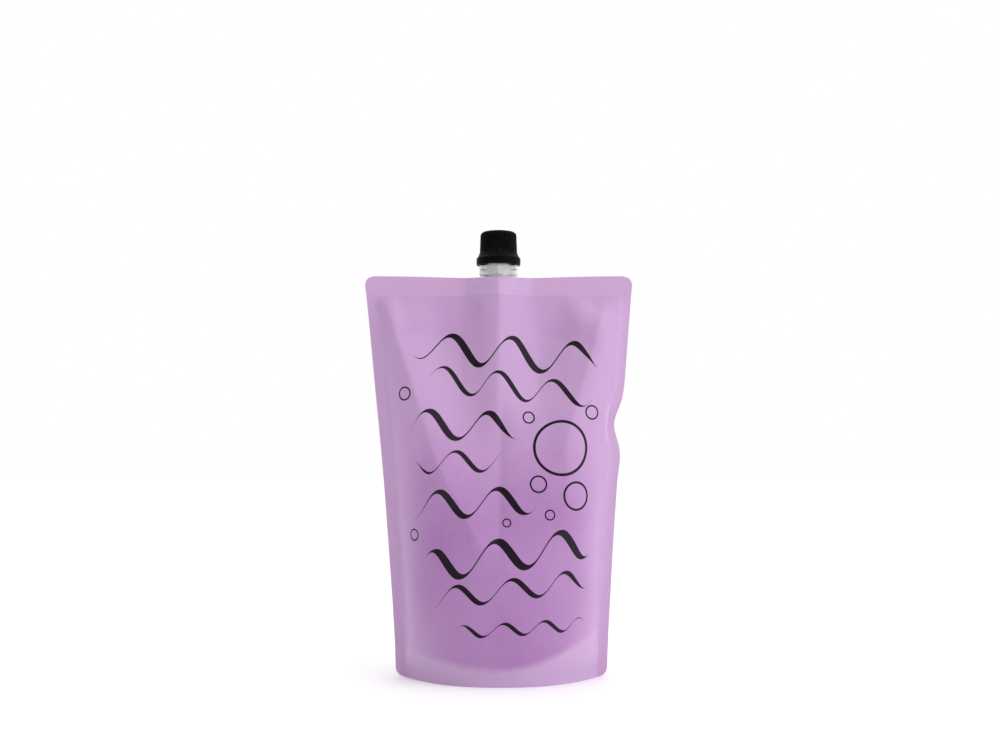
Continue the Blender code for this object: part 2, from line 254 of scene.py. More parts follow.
def add_dents(panel, dents):
    x, z = panel[..., 0], panel[..., 2]
    slack = stand_off(panel, 10 * MM)
    for x0, z0, length, width, angle, depth in dents:
        turn = math.radians(angle)
        along = (x - x0 * MM) * math.cos(turn) + (z - z0 * MM) * math.sin(turn)
        across = (z - z0 * MM) * math.cos(turn) - (x - x0 * MM) * math.sin(turn)
        pushed = np.exp(-((along / (length * MM)) ** 2) - (across / (width * MM)) ** 2)
        panel[..., 1] -= depth * MM * pushed * slack
    panel[..., 1] = np.minimum(panel[..., 1], -FILM)
    return panel


def grid_normals(grid):
    across = np.gradient(grid, axis=1)
    upward = np.gradient(grid, axis=0)
    normal = np.cross(across, upward)
    return normal / np.maximum(np.linalg.norm(normal, axis=2, keepdims=True), 1e-12)


def film_links(rows, columns, stiffness):
    """Pairs of grid points with the distance between them in the flat film.

    Neighbours hold the film's size; pairs 2, 4 and 8 points apart resist folding."""
    step_x = film_width(np.linspace(0.0, HEIGHT, rows))[:, None] / (columns - 1)
    step_z = FLAT_HEIGHT / (rows - 1)
    kinds = [(0, 1, 1.0), (1, 0, 1.0), (1, 1, 0.7), (1, -1, 0.7)]
    for reach, strength in stiffness:
        kinds += [(0, reach, strength), (reach, 0, strength)]
    links = []
    for down, over, strength in kinds:
        for phase in range(2):
            if down == 0:
                picked = np.arange(columns - over)
                picked = picked[(picked // over) % 2 == phase]
                first, second = (slice(None), picked), (slice(None), picked + over)
                rest = over * step_x
            else:
                picked = np.arange(rows - down)
                picked = picked[(picked // down) % 2 == phase]
                from_columns = slice(max(0, -over), columns - max(0, over))
                to_columns = slice(max(0, over), columns - max(0, -over))
                first, second = (picked, from_columns), (picked + down, to_columns)
                rest = np.hypot(down * step_z, over * step_x[picked])
            links.append((first, second, rest, strength))
    return links


def pull(grid, free, first, second, rest, strength):
    start, end = grid[first], grid[second]
    gap = end - start
    length = np.sqrt((gap * gap).sum(axis=-1))
    weight = free[first] + free[second]
    share = strength * (length - rest) / np.maximum(length, 1e-9) / np.maximum(weight, 1e-9)
    move = np.where(weight > 0, share, 0.0)[..., None] * gap
    grid[first] = start + move * free[first][..., None]
    grid[second] = end - move * free[second][..., None]


def relax(grid, steps, rounds, push, carry):
    """Film pushed out by the soap and drawn in above it; its welds and its foot stay put."""
    rows, columns, _ = grid.shape
    links = film_links(rows, columns, STIFFNESS)
    level = np.linspace(0.0, HEIGHT, rows)
    free = np.ones((rows, columns))
    free[:, [0, -1]] = 0.0
    free[level >= HEIGHT - TOP_WELD - 1 * MM] = 0.0
    free[level < FOOT] = 0.0
    loose = free[..., None]
    speed = np.zeros_like(grid)
    for _ in range(steps):
        z = grid[..., 2]
        pressure = np.clip(FILL_LEVEL - z, 0.0, None) / FILL_LEVEL
        pressure -= SUCTION * smooth_step(FILL_LEVEL, FILL_LEVEL + SUCTION_RISE, z)
        before = grid.copy()
        grid = grid + (carry * speed + (push * pressure)[..., None] * grid_normals(grid)) * loose
        for _ in range(rounds):
            for link in links:
                pull(grid, free, *link)
            limit = -np.maximum(FILM, spout_foot(grid[..., 0], grid[..., 2]))
            grid[..., 1] = np.where(free > 0, np.minimum(grid[..., 1], limit), grid[..., 1])
        speed = grid - before
    return grid


def resample(grid, rows, columns):
    for axis, count in ((0, rows), (1, columns)):
        place = np.linspace(0, grid.shape[axis] - 1, count)
        first = np.minimum(place.astype(int), grid.shape[axis] - 2)
        share = (place - first).reshape((-1, 1, 1) if axis == 0 else (1, -1, 1))
        grid = np.take(grid, first, axis) * (1 - share) + np.take(grid, first + 1, axis) * share
    return grid


def iron(panel):
    """Draw the film straight down from the spout's base: only upright folds stay there."""
    x, z = panel[..., 0], panel[..., 2]
    share = 0.5 * smooth_step(36 * MM, 24 * MM, np.abs(x)) * smooth_step(180 * MM, 200 * MM, z)
    share *= z < HEIGHT - TOP_WELD
    for _ in range(70):
        mean = (panel[:-2, :, 1] + panel[2:, :, 1]) / 2
        panel[1:-1, :, 1] += share[1:-1] * (mean - panel[1:-1, :, 1])
    return panel


def even_depth(panel, share, rounds):
    """Move each inner point's depth towards the mean of its four neighbours."""
    depth = panel[..., 1]
    for _ in range(rounds):
        around = (depth[:-2, 1:-1] + depth[2:, 1:-1] + depth[1:-1, :-2] + depth[1:-1, 2:]) / 4
        depth[1:-1, 1:-1] += share[1:-1, 1:-1] * (around - depth[1:-1, 1:-1])
    return panel


def settle(panel):
    """Smooth the small puckers under the top weld, where the film hardly leaves the weld plane."""
    share = 0.25 * smooth_step(195 * MM, 225 * MM, panel[..., 2])
    return even_depth(panel, share * (panel[..., 2] < HEIGHT - TOP_WELD), 40)


def even_out(panel):
    """Take away the faint steps that the finer grid has where it crosses the coarser one."""
    return even_depth(panel, 0.5 * (panel[..., 2] < HEIGHT - TOP_WELD - 2 * MM), 3)


def add_creases(panel, creases):
    x, z = panel[..., 0], panel[..., 2]
    slack = stand_off(panel, 7 * MM)
    for x0, z0, x1, z1, left, right, height in creases:
        length = math.hypot(x1 - x0, z1 - z0)
        run_x, run_z = (x1 - x0) / length, (z1 - z0) / length
        along = ((x / MM - x0) * run_x + (z / MM - z0) * run_z) / length
        aside = ((z / MM - z0) * run_x - (x / MM - x0) * run_z) * MM
        reach = np.where(aside < 0, left, right) * MM
        crest = np.exp(-(np.hypot(aside, CREASE_ROUNDING) - CREASE_ROUNDING) / reach)
        ends = smooth_step(-0.25, 0.2, along) * smooth_step(1.25, 0.8, along)
        panel[..., 1] -= height * MM * crest * ends * slack
    panel[..., 1] = np.minimum(panel[..., 1], -FILM)
    return panel


def add_belly(panel):
    """The soap pushes the film out over the upper edge of the skirt's weld."""
    above = panel[..., 2] - skirt_height(panel[..., 0])
    above = np.clip(above, 0.0, None)
    rise = 1.0 - np.exp(-above / BELLY_RISE)
    fall = np.exp(-above / BELLY_FALL)
    panel[..., 1] -= BELLY * rise * fall * stand_off(panel, 20 * MM)
    return panel


def film_panel(dents, creases):
    steps = STEPS_TO_REST
    panel = add_dents(starting_panel(*COARSE), dents)
    panel = relax(panel, steps[0], 10, 0.12 * MM, 0.9)
    panel = relax(panel, steps[1], 20, 0.03 * MM, 0.5)
    panel = resample(panel, *FINE)
    panel = relax(panel, steps[2], 8, 0.06 * MM, 0.6)
    panel = even_out(resample(settle(iron(panel)), *FINAL))
    return add_belly(add_creases(panel, creases))


def corner_trim(z):
    reach = np.maximum(np.maximum(CORNER - z, z - (HEIGHT - CORNER)), 0.0)
    return CORNER - np.sqrt(np.clip(CORNER**2 - reach**2, 0.0, None))


def add_fins(panel):
    """The side welds: flat strips from the panel's edges out to the trimmed outline."""
    level = panel[:, 0, 2]
    trim = corner_trim(level)
    shares = np.linspace(0.0, 1.0, FIN_COLUMNS + 1)[1:]
    strips = []
    for edge, seam, side in ((panel[:, 0], left_seam(level), -1), (panel[:, -1], right_seam(level), 1)):
        strip = np.zeros((len(level), FIN_COLUMNS, 3))
        outer = seam - side * trim
        for k, share in enumerate(shares):
            strip[:, k, 0] = edge[:, 0] * (1 - share) + outer * share
            strip[:, k, 1] = -FILM
            strip[:, k, 2] = level
        strips.append(strip)
    left, right = strips
    return np.concatenate([left[:, ::-1], panel, right], axis=1)


def soften_seams(points):
    """The film curves out of its side welds instead of folding at them."""
    columns = np.arange(points.shape[1])
    away = np.minimum(np.abs(columns - FIN_COLUMNS), np.abs(columns - (len(columns) - 1 - FIN_COLUMNS)))
    share = 0.5 * bump(0.0, SEAM_REACH, away) * smooth_step(0.0, 20 * MM, points[:, :1, 2])
    share = share[:, 1:-1]
    for _ in range(24):
        around = (points[:, :-2, 1] + points[:, 2:, 1]) / 2
        points[:, 1:-1, 1] += share * (around - points[:, 1:-1, 1])
    return points


def weld_wave(points):
    """The welded edges aren't quite flat: they lean to and fro, most where the right one buckles."""
    x, z = points[..., 0], points[..., 2]
    inside = smooth_step(0, 25 * MM, z) * smooth_step(HEIGHT, HEIGHT - 20 * MM, z)
    right = smooth_step(35 * MM, 80 * MM, x)
    left = smooth_step(-35 * MM, -80 * MM, x)
    lean = right * (2.6 * MM * bump(160 * MM, 14 * MM, z) - 1.6 * MM * bump(190 * MM, 18 * MM, z))
    lean += left * (1.2 * MM * np.sin(z / (17 * MM)) * inside)
    lean += right * (0.7 * MM * np.sin(z / (13 * MM) + 1.0) * inside)
    points[..., 1] += lean
    points[..., 2] -= TOP_DIP * bump(0.0, 45 * MM, x) * smooth_step(HEIGHT - 40 * MM, HEIGHT, z)
    return points


def fold_height(x, reach):
    rise = np.clip((np.abs(x) - GUSSET_FLAT) / (reach - GUSSET_FLAT), 0.0, 1.0)
    return LIFT + GUSSET_RISE * rise**1.3


def skirt_wall(panel, i, weld, inward, count=8):
    """Points up the inside of the skirt in one column, from the floor to its weld."""
    rim = panel[:SKIRT_ROWS, i]
    points = []
    for z in np.linspace(0.0, weld, count):
        x = np.interp(z, rim[:, 2], rim[:, 0])
        y = np.interp(z, rim[:, 2], rim[:, 1]) + inward
        points.append((x, y, z))
    return points


def gusset_lines(front, back, first, last, over=24):
    """Inside of the skirt's front wall, the gusset that folds up towards the seams, the back wall."""
    reach = np.abs(front[0, [first, last], 0]).max() + 2 * MM
    lines = []
    for i in range(first, last + 1):
        x = front[0, i, 0]
        weld = float(skirt_height(x))
        fold = float(fold_height(x, reach))
        front_wall = skirt_wall(front, i, weld, 2 * FILM)
        back_wall = skirt_wall(back, i, weld, -2 * FILM)
        near, far = np.array(front_wall[-1]), np.array(back_wall[-1])
        middle = []
        for share in np.linspace(-1.0, 1.0, over + 1)[1:-1]:
            point = near + (far - near) * (share + 1) / 2
            point[2] = fold + (weld - fold) * share * share
            middle.append(tuple(point))
        lines.append(front_wall + middle + back_wall[::-1])
    return lines


def pocket_lines(front, back, first, last):
    """The opening in the top weld that the spout's base fills: down the front film, across and up."""
    lines = []
    floor = CANOE_LOW - 2 * FILM
    for i in range(first, last + 1):
        near, far = front[-1, i], back[-1, i]
        gap = min(LIFT, (far[1] - near[1]) / 4)
        lines.append([(near[0], near[1] + gap, near[2]), (near[0], near[1] + gap, floor),
                      (far[0], far[1] - gap, floor), (far[0], far[1] - gap, far[2])])
    return lines


class Grid:
    """Points and faces of one body, gathered sheet by sheet."""

    def __init__(self):
        self.points = []
        self.faces = []
        self.flat = []

    def add(self, lines, flat):
        start = len(self.points)
        for line in lines:
            self.points += [tuple(p) for p in line]
        self.flat += flat
        width = len(lines[0])
        return lambda row, i: start + row * width + i

    def patch(self, at, rows, columns):
        for row in range(rows - 1):
            for i in range(columns - 1):
                self.faces.append((at(row, i), at(row, i + 1), at(row + 1, i + 1), at(row + 1, i)))


def span(mask):
    inside = np.where(mask)[0]
    return int(inside[0]), int(inside[-1])


def flat_x(i, columns):
    """Distance from the middle of the flat film, for a column of the grid with its fins."""
    inner = columns - 2 * FIN_COLUMNS
    place = i - FIN_COLUMNS
    half = FLAT_WIDTH / 2
    if place < 0:
        return -half + place / FIN_COLUMNS * SIDE_WELD
    if place > inner - 1:
        return half + (place - inner + 1) / FIN_COLUMNS * SIDE_WELD
    return -half + place / (inner - 1) * FLAT_WIDTH


def flat_points(rows, columns):
    points = []
    for row in range(rows):
        z = row / (rows - 1) * FLAT_HEIGHT
        points += [(flat_x(i, columns), z) for i in range(columns)]
    return points


def close_opening(grid, lines, f_edge, b_edge, first, last, flat_z):
    """Hang a sheet of lines between the two films' edges, and close its two ends."""
    across = len(lines[0])
    at = grid.add(lines, [(0.0, flat_z)] * (across * len(lines)))
    grid.patch(at, len(lines), across)
    for line in range(len(lines) - 1):
        i = first + line
        grid.faces.append((f_edge(i), at(line, 0), at(line + 1, 0), f_edge(i + 1)))
        grid.faces.append((b_edge(i + 1), at(line + 1, across - 1), at(line, across - 1), b_edge(i)))
    for line, i in ((0, first), (len(lines) - 1, last)):
        grid.faces.append(tuple([f_edge(i)] + [at(line, k) for k in range(across)] + [b_edge(i)]))


def close_edge(grid, f_edge, b_edge, columns, first, last):
    for i in list(range(first)) + list(range(last, columns - 1)):
        grid.faces.append((f_edge(i), b_edge(i), b_edge(i + 1), f_edge(i + 1)))


def build_pouch():
    """One closed film body: front, back, the edges that join them, the gusset and the spout's pocket."""
    front = weld_wave(soften_seams(add_fins(film_panel(FRONT_DENTS, FRONT_CREASES))))
    back = soften_seams(add_fins(film_panel(BACK_DENTS, BACK_CREASES)))
    back[..., 1] *= -1.0
    back = weld_wave(back)
    rows, columns, _ = front.shape
    flat = flat_points(rows, columns)
    grid = Grid()
    f = grid.add(front, flat)
    b = grid.add(back, flat)
    grid.patch(f, rows, columns)
    grid.patch(b, rows, columns)
    for row in range(rows - 1):
        for i in (0, columns - 1):
            grid.faces.append((f(row, i), f(row + 1, i), b(row + 1, i), b(row, i)))
    foot = span(front[0, :, 1] < -FOOT_OPENING)
    close_edge(grid, lambda i: f(0, i), lambda i: b(0, i), columns, *foot)
    close_opening(grid, gusset_lines(front, back, *foot), lambda i: f(0, i), lambda i: b(0, i), *foot,
                  -10 * MM)
    mouth = span((back - front)[-1, :, 1] > MOUTH_OPENING)
    close_edge(grid, lambda i: f(rows - 1, i), lambda i: b(rows - 1, i), columns, *mouth)
    close_opening(grid, pocket_lines(front, back, *mouth), lambda i: f(rows - 1, i),
                  lambda i: b(rows - 1, i), *mouth, FLAT_HEIGHT)
    pouch = mesh_object("film_pouch", grid.points, grid.faces)
    store_flat(pouch, grid.flat)
    store_zones(pouch)
    return pouch


def mesh_object(name, points, faces, sharp=38):
    mesh = bpy.data.meshes.new(name)
    mesh.from_pydata([tuple(p) for p in points], [], faces)
    bm = bmesh.new()
    bm.from_mesh(mesh)
    bmesh.ops.recalc_face_normals(bm, faces=bm.faces[:])
    bm.to_mesh(mesh)
    bm.free()
    mesh.shade_smooth()
    mesh.set_sharp_from_angle(angle=math.radians(sharp))
    obj = bpy.data.objects.new(name, mesh)
    bpy.context.scene.collection.objects.link(obj)
    return obj


def store_flat(obj, flat):
    """Where each point lies in the flat film, in centimetres, as a UV map that print and bumps follow."""
    layer = obj.data.uv_layers.new(name="FlatFilm")
    index = np.zeros(len(obj.data.loops), np.int32)
    obj.data.loops.foreach_get("vertex_index", index)
    values = np.array(flat)[index] * 100.0
    layer.data.foreach_set("uv", values.astype(np.float32).ravel())


def store_zones(obj):
    """Two weights on the film's points: how welded it is, which also carries painted light, and painted
    shade where the film stands out over the soap.
    """
    points = np.zeros(len(obj.data.vertices) * 3)
    obj.data.vertices.foreach_get("co", points)
    x, y, z = points.reshape(-1, 3).T
    seam = np.minimum(x - left_seam(z), right_seam(z) - x)
    side = smooth_step(SIDE_WELD + 3 * MM, SIDE_WELD - 1 * MM, seam)
    top = smooth_step(HEIGHT - TOP_WELD - 0.7 * MM, HEIGHT - TOP_WELD + 0.7 * MM, z)
    above = z - skirt_height(x)
    skirt = smooth_step(2 * MM, -2 * MM, above)
    # The welded weight also sets painted light: seams, top weld and skirt get a lighter colour, which is
    # partly the seal's own look
    welded = np.maximum(np.maximum(side, top), skirt)
    # Painted shade weight: strongest where the film stands furthest out, gone above 190 mm and on the
    # skirt, weaker low at the sides
    filled = smooth_step(10 * MM, 34 * MM, np.abs(y)) * smooth_step(190 * MM, 95 * MM, z)
    filled *= smooth_step(0.0, 5 * MM, above)
    beside = smooth_step(20 * MM, 55 * MM, np.abs(x - 5 * MM)) * smooth_step(62 * MM, 24 * MM, z)
    filled *= 1.0 - 0.6 * beside
    for name, values in (("welded", welded), ("filled", filled)):
        layer = obj.data.attributes.new(name, "FLOAT", "POINT")
        layer.data.foreach_set("value", values.astype(np.float32))


# ---- turned and moulded plastic pieces ----------------------------------------------------------
STEPS = 360
PITCH = 3.0 * MM            # thread, the same rise in a turn as the cap's joint


def arc(centre_r, centre_z, radius, start, end, count=6):
    angles = np.radians(np.linspace(start, end, count))
    return [(centre_r + radius * math.cos(a), centre_z + radius * math.sin(a)) for a in angles]


def rings(profile, shape=None):
    """Points of a profile carried round the axis; shape gives the radii of a ring at each angle."""
    angles = np.linspace(0.0, 2 * math.pi, STEPS, endpoint=False)
    lines = []
    for r, z in profile:
        radii = np.full(STEPS, float(r)) if shape is None else shape(r, z, angles)
        lines.append(np.stack([radii * np.cos(angles), radii * np.sin(angles), np.full(STEPS, z)], axis=1))
    return lines


def lathe(name, lines, closed, sharp=38):
    """Join rings into one body; an open run of rings is closed by a fan at each end."""
    points = [tuple(p) for line in lines for p in line]
    faces = []
    pairs = list(zip(range(len(lines)), range(1, len(lines))))
    if closed:
        pairs.append((len(lines) - 1, 0))
    for low, high in pairs:
        for k in range(STEPS):
            after = (k + 1) % STEPS
            faces.append((low * STEPS + k, low * STEPS + after, high * STEPS + after, high * STEPS + k))
    if not closed:
        for ring in (0, len(lines) - 1):
            centre = len(points)
            points.append((0.0, 0.0, lines[ring][0][2]))
            for k in range(STEPS):
                faces.append((centre, ring * STEPS + k, ring * STEPS + (k + 1) % STEPS))
    return mesh_object(name, points, faces, sharp)


def thread_bump(z, angles, low, high):
    """0 to 1 across a helical ridge, fading out at both ends of its run."""
    turn = (z / PITCH - angles / (2 * math.pi)) % 1.0
    ridge = smooth_step(0.18, 0.34, turn) * smooth_step(0.72, 0.56, turn)
    return ridge * float(smooth_step(low, low + 1 * MM, z) * smooth_step(high, high - 1 * MM, z))


# ---- cap ----------------------------------------------------------------------------------------
CAP_BASE_RADIUS = CAP_HIGH.x
CAP_TOP_RADIUS = CAP_HIGH.x - 0.35 * MM
CAP_BORE = 10.6 * MM
CAP_ROOF = 1.9 * MM
SHOULDER = 2.8 * MM
FLUTES = 36
FLUTE_DEPTH = 0.42 * MM
TORN_BRIDGES = 8


def cap_shape(r, z, angles):
    radii = np.full(STEPS, float(r))
    if r > CAP_BORE + 0.4 * MM:
        flute = (0.5 + 0.5 * np.cos(FLUTES * angles)) ** 2.2
        run = smooth_step(CAP_LOW.z, CAP_LOW.z + 0.5 * MM, z)
        run = run * smooth_step(CAP_HIGH.z - 0.6 * MM, CAP_HIGH.z - 1.8 * MM, z)
        radii -= FLUTE_DEPTH * flute * run
    elif r > CAP_BORE - 0.1 * MM:
        radii -= 0.6 * MM * thread_bump(z, angles, CAP_LOW.z + 1.5 * MM, CAP_LOW.z + 9 * MM)
    return radii


def build_cap():
    low, top = CAP_LOW.z, CAP_HIGH.z
    roof = top - CAP_ROOF
    profile = [(2.0 * MM, roof), (8.0 * MM, roof), (CAP_BORE - 0.4 * MM, roof)]
    profile += arc(CAP_BORE - 0.4 * MM, roof - 0.4 * MM, 0.4 * MM, 90, 0, 4)
    profile += [(CAP_BORE, z) for z in np.linspace(roof - 0.6 * MM, low + 0.5 * MM, 44)]
    profile += [(CAP_BORE + 0.25 * MM, low + 0.1 * MM), (CAP_BORE + 0.45 * MM, low)]
    profile += [(CAP_BASE_RADIUS - 0.3 * MM, low), (CAP_BASE_RADIUS - 0.08 * MM, low + 0.08 * MM)]
    wall_top = top - SHOULDER
    for z in np.linspace(low + 0.3 * MM, wall_top, 22):
        share = (z - low) / (wall_top - low)
        profile.append((CAP_BASE_RADIUS + (CAP_TOP_RADIUS - CAP_BASE_RADIUS) * share, z))
    profile += arc(CAP_TOP_RADIUS - SHOULDER, wall_top, SHOULDER, 8, 90, 12)
    dish = CAP_TOP_RADIUS - SHOULDER - 0.6 * MM
    floor = top - 0.25 * MM
    profile += [(dish, top - 0.02 * MM), (dish - 0.5 * MM, top - 0.18 * MM), (dish - 1.2 * MM, floor)]
    profile += [(3.0 * MM, floor), (1.1 * MM, floor), (0.9 * MM, top - 0.1 * MM)]
    return lathe("screw_cap", rings(profile, cap_shape), closed=False)


# ---- tamper band --------------------------------------------------------------------------------
BAND_RADIUS = BAND_HIGH.x
BAND_TOP_RADIUS = 12.4 * MM
BAND_BORE = 10.9 * MM
BAND_LIP = 9.5 * MM


def build_band():
    """A cone, an upright rim and a lip that hooks under the neck's bead; torn bridges stand on its top."""
    low, high = BAND_LOW.z, BAND_HIGH.z
    profile = [(BAND_BORE, z) for z in np.linspace(high - 0.2 * MM, low + 2.6 * MM, 5)]
    profile += [(BAND_LIP + 0.2 * MM, low + 1.4 * MM), (BAND_LIP, low + 1.1 * MM)]
    profile += [(BAND_LIP, low + 0.4 * MM), (BAND_LIP + 0.3 * MM, low + 0.1 * MM)]
    profile.append((BAND_LIP + 0.8 * MM, low))
    profile += arc(BAND_RADIUS - 0.6 * MM, low + 0.6 * MM, 0.6 * MM, -90, 0, 6)
    profile += arc(BAND_RADIUS - 0.5 * MM, low + 4.2 * MM, 0.5 * MM, 0, 50, 5)
    profile += [(13.6 * MM, low + 5.2 * MM), (12.9 * MM, low + 6.6 * MM), (12.55 * MM, low + 7.5 * MM)]
    profile += arc(BAND_TOP_RADIUS - 0.3 * MM, high - 0.3 * MM, 0.3 * MM, 0, 90, 4)
    profile += [(BAND_BORE + 0.2 * MM, high)]
    lines = rings(profile)
    angles = np.linspace(0.0, 2 * math.pi, STEPS, endpoint=False)
    stub = smooth_step(0.96, 0.99, np.cos(TORN_BRIDGES * angles)) * 0.14 * MM
    for line in lines[-3:]:
        line[:, 2] += stub
    return lathe("break_band", lines, closed=True)


# ---- spout --------------------------------------------------------------------------------------
BORE = 7.5 * MM
NECK = 9.0 * MM
BEAD = 10.3 * MM
RAIL_HALF = (12.4 * MM, 6.6 * MM)
RAIL_CORNER = 2.0 * MM
PRISM_RIDGE = 10.2 * MM     # upright edge of the neck in front and behind
PRISM_HALF = 9.0 * MM
PRISM_SIDE = 5.6 * MM
PRISM = (0.2594, 0.2656)
LOWER_RAIL = (0.2594, 0.2618)
UPPER_RAIL = (0.2630, 0.2653)
BEAD_LEVELS = (0.2700, 0.2722)
RIBS = 5
PARTING_LINE = 0.3 * MM
THREAD_HEIGHT = 0.8 * MM


def edge_radii(angles, inside):
    """Distance from the axis to the edge of a shape in plan, at each angle."""
    low, high = np.zeros(STEPS), np.full(STEPS, 30 * MM)
    for _ in range(30):
        middle = (low + high) / 2
        held = inside(middle * np.cos(angles), middle * np.sin(angles))
        low = np.where(held, middle, low)
        high = np.where(held, high, middle)
    return low


def in_rail(x, y):
    out_x = np.maximum(np.abs(x) - (RAIL_HALF[0] - RAIL_CORNER), 0.0)
    out_y = np.maximum(np.abs(y) - (RAIL_HALF[1] - RAIL_CORNER), 0.0)
    return np.hypot(out_x, out_y) < RAIL_CORNER


def in_prism(x, y):
    slope = (PRISM_RIDGE - PRISM_SIDE) / PRISM_HALF
    return (np.abs(x) < PRISM_HALF) & (np.abs(y) < PRISM_RIDGE - slope * np.abs(x))


def level_ring(radii, angles, z):
    radii = np.broadcast_to(radii, (STEPS,))
    return np.stack([radii * np.cos(angles), radii * np.sin(angles), np.full(STEPS, z)], axis=1)


def base_levels(angles):
    """The ribbed base that the films are welded to, from the bottom of the bore out and up."""
    half, reach = CANOE_HALF - 0.5 * MM, CANOE_REACH - 1.2 * MM
    wide = edge_radii(angles, lambda x, y: np.abs(y) < canoe_depth(x, half, reach))
    lean = edge_radii(angles, lambda x, y: np.abs(y) < canoe_depth(x, half - 0.5 * MM, reach - 1 * MM))
    levels = [(BORE, CANOE_LOW + 0.2 * MM), (BORE + 0.3 * MM, CANOE_LOW), (lean, CANOE_LOW)]
    top = HEIGHT - 1.6 * MM
    height = (top - CANOE_LOW) / RIBS
    for rib in range(RIBS):
        z = CANOE_LOW + rib * height
        levels += [(wide, z + 0.25 * height), (wide, z + 0.70 * height), (lean, z + 0.80 * height)]
        levels.append((lean if rib < RIBS - 1 else wide, z + height))
    return levels + [(NECK, top)]


def rail_levels(angles):
    """The prism under the thread with its two rails, and the bead that holds the band."""
    parting = PARTING_LINE * np.exp(-((np.cos(angles) / 0.022) ** 2))
    prism = edge_radii(angles, in_prism) + parting
    rail = np.maximum(edge_radii(angles, in_rail), prism)
    levels = [(NECK, PRISM[0] - 0.1 * MM), (prism - 0.1 * MM, PRISM[0])]
    edge = 0.15 * MM
    for low, high in (LOWER_RAIL, UPPER_RAIL):
        levels += [(prism, low), (rail - edge, low), (rail, low + edge)]
        levels += [(rail, high - edge), (rail - edge, high), (prism, high)]
    levels += [(prism, PRISM[1] - edge), (prism - edge, PRISM[1]), (NECK, PRISM[1])]
    levels.append((NECK, BEAD_LEVELS[0]))
    levels += arc(BEAD - 0.5 * MM, BEAD_LEVELS[0] + 0.6 * MM, 0.5 * MM, -80, 60)
    return levels + [(NECK, BEAD_LEVELS[1])]


def neck_levels(angles):
    """The thread, the rounded rim and the top of the bore."""
    top = SPOUT_HIGH.z
    levels = []
    for z in np.linspace(BEAD_LEVELS[1] + 0.3 * MM, top - 0.9 * MM, 44):
        ridge = thread_bump(z, angles, BEAD_LEVELS[1] + 1 * MM, top - 1.2 * MM)
        levels.append((NECK + THREAD_HEIGHT * ridge, z))
    levels += arc(NECK - 0.5 * MM, top - 0.5 * MM, 0.5 * MM, 0, 90)
    return levels + arc(BORE + 0.3 * MM, top - 0.3 * MM, 0.3 * MM, 90, 180)


def build_spout():
    """From the bottom of the bore out and up the base, rails, neck and thread, and down the bore."""
    angles = np.linspace(0.0, 2 * math.pi, STEPS, endpoint=False)
    levels = base_levels(angles) + rail_levels(angles) + neck_levels(angles)
    lines = [level_ring(radii, angles, z) for radii, z in levels]
    return lathe("spout_moulding", lines, closed=True, sharp=30)


# ---- cap liner ----------------------------------------------------------------------------------
def build_liner():
    """A disc with a shallow ring pressed into its face by the spout's rim."""
    low, high, radius = LINER_LOW.z, LINER_HIGH.z, LINER_HIGH.x
    edge = 0.2 * MM
    profile = [(2.0 * MM, low), (NECK - 1.6 * MM, low), (NECK - 1.3 * MM, low + 0.08 * MM)]
    profile += [(NECK - 0.2 * MM, low + 0.08 * MM), (NECK + 0.1 * MM, low)]
    profile += arc(radius - edge, low + edge, edge, -90, 0, 4)
    profile += arc(radius - edge, high - edge, edge, 0, 90, 4)
    profile += [(2.0 * MM, high)]
    return lathe("sealing_disc", rings(profile), closed=False)


# ---- materials ----------------------------------------------------------------------------------
class Graph:
    """A node material built up from short calls."""

    def __init__(self, name):
        self.material = bpy.data.materials.new(name)
        self.material.use_nodes = True
        self.tree = self.material.node_tree
        self.shader = self.tree.nodes["Principled BSDF"]

    def node(self, kind, inputs=None, **settings):
        made = self.tree.nodes.new(kind)
        for key, value in settings.items():
            setattr(made, key, value)
        for key, value in (inputs or {}).items():
            self.plug(made.inputs[key], value)
        return made

    def plug(self, socket, value):
        if isinstance(value, bpy.types.NodeSocket):
            self.tree.links.new(value, socket)
        else:
            socket.default_value = value

    def math(self, operation, first, second=0.0, third=0.0):
        inputs = {0: first, 1: second, 2: third}
        return self.node("ShaderNodeMath", inputs, operation=operation).outputs[0]

    def ramp(self, value, low, high, to_low=0.0, to_high=1.0, kind="SMOOTHSTEP"):
        inputs = {"Value": value, "From Min": low, "From Max": high, "To Min": to_low, "To Max": to_high}
        return self.node("ShaderNodeMapRange", inputs, interpolation_type=kind).outputs[0]

    def noise(self, place, scale, detail=3.0, roughness=0.5):
        inputs = {"Vector": place, "Scale": scale, "Detail": detail, "Roughness": roughness}
        return self.node("ShaderNodeTexNoise", inputs).outputs[0]

    def mix(self, share, first, second):
        made = self.node("ShaderNodeMix", data_type="RGBA")
        self.plug(made.inputs["Factor"], share)
        self.plug(made.inputs["A"], first)
        self.plug(made.inputs["B"], second)
        return made.outputs["Result"]

    def bump(self, height, distance, strength=1.0):
        inputs = {"Height": height, "Distance": distance, "Strength": strength}
        self.plug(self.shader.inputs["Normal"], self.node("ShaderNodeBump", inputs).outputs[0])

    def distance(self, x, y, centre_x, centre_y):
        over = self.math("ABSOLUTE", self.math("SUBTRACT", x, centre_x))
        up = self.math("ABSOLUTE", self.math("SUBTRACT", y, centre_y))
        squares = self.math("ADD", self.math("POWER", over, 2.0), self.math("POWER", up, 2.0))
        return self.math("SQRT", squares)

    def attribute(self, name):
        return self.node("ShaderNodeAttribute", attribute_name=name).outputs["Fac"]

    def finish(self, **values):
        for key, value in values.items():
            self.plug(self.shader.inputs[key.replace("_", " ")], value)
        return self.material


